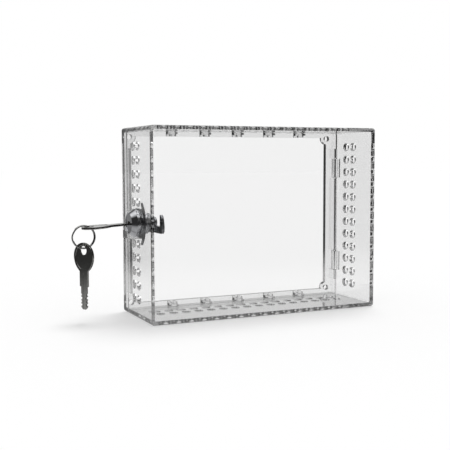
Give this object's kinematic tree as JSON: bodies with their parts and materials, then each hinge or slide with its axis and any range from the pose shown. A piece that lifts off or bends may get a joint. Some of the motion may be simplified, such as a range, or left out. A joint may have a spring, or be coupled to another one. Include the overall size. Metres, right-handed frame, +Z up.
{
  "type": "locking wall guard",
  "caption": "Clear vented guard box for a wall control: open-backed base ring, hook-hinged cover, cam lock with hook, and keys on a split ring.",
  "frame": {"origin": "centre of the four wall-screw holes, on the back face of the base ring", "axes": "+X to the right seen from the front, +Y towards the wall, +Z up; the cover's front panel faces -Y"},
  "size_m": [0.2113, 0.0584, 0.127],
  "materials": {
    "clear_plastic": "clear, polished",
    "lock_chrome": "bright dark chrome plate",
    "spring_steel": "oiled spring steel",
    "zinc_steel": "dark zinc plate",
    "wafer_brass": "stamped",
    "key_nickel": "dark nickel plate",
    "ring_steel": "nickel-plated spring wire"
  },
  "bodies": {
    "base": {"base_ring": "clear_plastic"},
    "cover_body": {"cover": "clear_plastic", "lock_barrel": "lock_chrome", "mounting_clip": "spring_steel"},
    "plug_body": {"lock_plug": "lock_chrome", "wafer_1": "wafer_brass", "wafer_2": "wafer_brass", "wafer_3": "wafer_brass", "wafer_4": "wafer_brass", "wafer_springs": "spring_steel", "stop_washer": "zinc_steel", "hook_cam": "zinc_steel", "cam_washer": "zinc_steel", "cam_screw": "zinc_steel"},
    "key_body": {"lock_key": "key_nickel"},
    "ring_body": {"split_ring": "ring_steel"},
    "spare_body": {"spare_key": "key_nickel"}
  },
  "joints": [
    {"name": "cover_hinge", "type": "hinge", "parent": "base", "child": "cover_body", "pos_m": [0.08415, -0.0098, 0], "axis": [0, 0, 1], "range_deg": [0, 80]},
    {"name": "lock_turn", "type": "hinge", "parent": "cover_body", "child": "plug_body", "pos_m": [-0.08415, -0.0277, 0], "axis": [-1, 0, 0], "range_deg": [0, 180]},
    {"name": "key_slide", "type": "slide", "parent": "plug_body", "child": "key_body", "axis": [-1, 0, 0], "range_m": [0, 0.0225]},
    {"name": "ring_swing", "type": "hinge", "parent": "key_body", "child": "ring_body", "pos_m": [-0.11929, -0.0277, -0.0005], "axis": [1, 0, 0], "range_deg": [-20, 20]},
    {"name": "spare_key_swing", "type": "hinge", "parent": "ring_body", "child": "spare_body", "pos_m": [-0.11929, -0.0277, -0.01652], "axis": [0.8829, 0.4695, 0], "range_deg": [-35, 35]}
  ]
}
